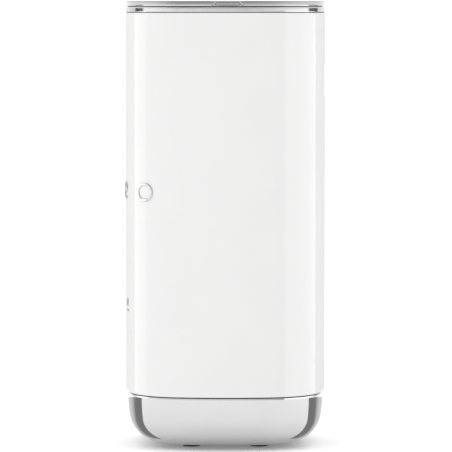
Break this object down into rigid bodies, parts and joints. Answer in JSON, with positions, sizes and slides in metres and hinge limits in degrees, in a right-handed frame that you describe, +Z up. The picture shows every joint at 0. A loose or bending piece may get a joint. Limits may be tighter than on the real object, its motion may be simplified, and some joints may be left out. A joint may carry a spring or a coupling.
{
  "type": "sous vide circulator",
  "caption": "Free-standing sous vide circulator: white rounded-square tower on a polished domed base, with a polished ring and cap, top keys and a side button.",
  "frame": {"origin": "on the floor under the middle of the base", "axes": "+Z up along the tower, -Y towards the front with the raised rings, +X towards the side button"},
  "size_m": [0.1102, 0.1103, 0.2439],
  "materials": {
    "gloss_white": "high gloss moulded",
    "polished_steel": "mirror polished",
    "dark_rubber": "soft matt",
    "black_glass": "smooth glossy black panel",
    "grey_mark": "printed grey",
    "black_plastic": "fine matt moulded",
    "grey_plastic": "moulded satin",
    "white_plastic": "moulded satin",
    "steel": "satin stainless",
    "zinc": "zinc plated",
    "aluminium": "extruded satin",
    "copper": "enamelled copper wire",
    "brass": "bright nickel-brass",
    "board_green": "solder mask",
    "display": "display frame",
    "yellow_tape": "wound tape",
    "blue_plastic": "sleeve film"
  },
  "bodies": {
    "housing": {"base_dome": "polished_steel", "seam_gasket": "dark_rubber", "body_sleeve": "gloss_white", "ring_gasket": "dark_rubber", "top_ring": "polished_steel", "groove_seal": "dark_rubber", "cap_bezel": "polished_steel", "control_glass": "black_glass", "button_frame": "polished_steel", "power_switch": "black_plastic", "badge_rings": "polished_steel", "level_marks": "grey_mark", "feet": "dark_rubber", "base_screws": "zinc", "outlet_grille": "black_plastic", "bulkhead": "grey_plastic", "shaft_seal": "dark_rubber", "pump_volute": "grey_plastic", "volute_gasket": "dark_rubber", "heater_coil": "steel", "temperature_probe": "steel", "level_sensor": "steel", "thermal_fuse": "white_plastic", "motor_bracket": "steel", "bracket_screws": "zinc", "motor_can": "zinc", "motor_end_cap": "aluminium", "motor_bearings": "steel", "motor_stator": "steel", "motor_windings": "copper", "chassis": "black_plastic", "chassis_screws": "zinc", "ring_screws": "zinc", "power_spacers": "brass", "power_board": "board_green", "power_screws": "zinc", "transformer": "yellow_tape", "relay": "blue_plastic", "capacitors": "blue_plastic", "triac": "black_plastic", "heat_sink": "aluminium", "control_board": "board_green", "control_spacers": "brass", "control_screws": "zinc", "display_module": "display", "key_switches": "black_plastic", "key_return_minus": "dark_rubber", "key_return_start": "dark_rubber", "key_return_plus": "dark_rubber", "mains_inlet": "black_plastic", "inlet_pins": "brass"},
    "pump_rotor": {"impeller": "white_plastic", "motor_shaft": "steel", "motor_rotor": "steel"},
    "side_button": {"power_button": "steel"},
    "intake_cap": {"intake_grille": "black_plastic"},
    "minus_key": {"key_minus": "gloss_white"},
    "start_key": {"key_start": "gloss_white"},
    "plus_key": {"key_plus": "gloss_white"}
  },
  "joints": [
    {"name": "pump_spin", "type": "hinge", "parent": "housing", "child": "pump_rotor", "pos_m": [0, 0, 0.05], "axis": [0, 0, 1], "continuous": true},
    {"name": "side_button_press", "type": "slide", "parent": "housing", "child": "side_button", "axis": [-1, 0, 0], "range_m": [0, 0.0007], "stiffness_N_per_m": 900, "springref_m": -0.0006},
    {"name": "intake_twist", "type": "hinge", "parent": "housing", "child": "intake_cap", "pos_m": [0, 0, 0.003], "axis": [0, 0, 1], "range_deg": [0, 60]},
    {"name": "minus_key_press", "type": "slide", "parent": "housing", "child": "minus_key", "axis": [0, 0, -1], "range_m": [0, 0.0006], "stiffness_N_per_m": 900, "springref_m": -0.0006, "deforming": ["key_return_minus"]},
    {"name": "start_key_press", "type": "slide", "parent": "housing", "child": "start_key", "axis": [0, 0, -1], "range_m": [0, 0.0006], "stiffness_N_per_m": 900, "springref_m": -0.0006, "deforming": ["key_return_start"]},
    {"name": "plus_key_press", "type": "slide", "parent": "housing", "child": "plus_key", "axis": [0, 0, -1], "range_m": [0, 0.0006], "stiffness_N_per_m": 900, "springref_m": -0.0006, "deforming": ["key_return_plus"]}
  ]
}
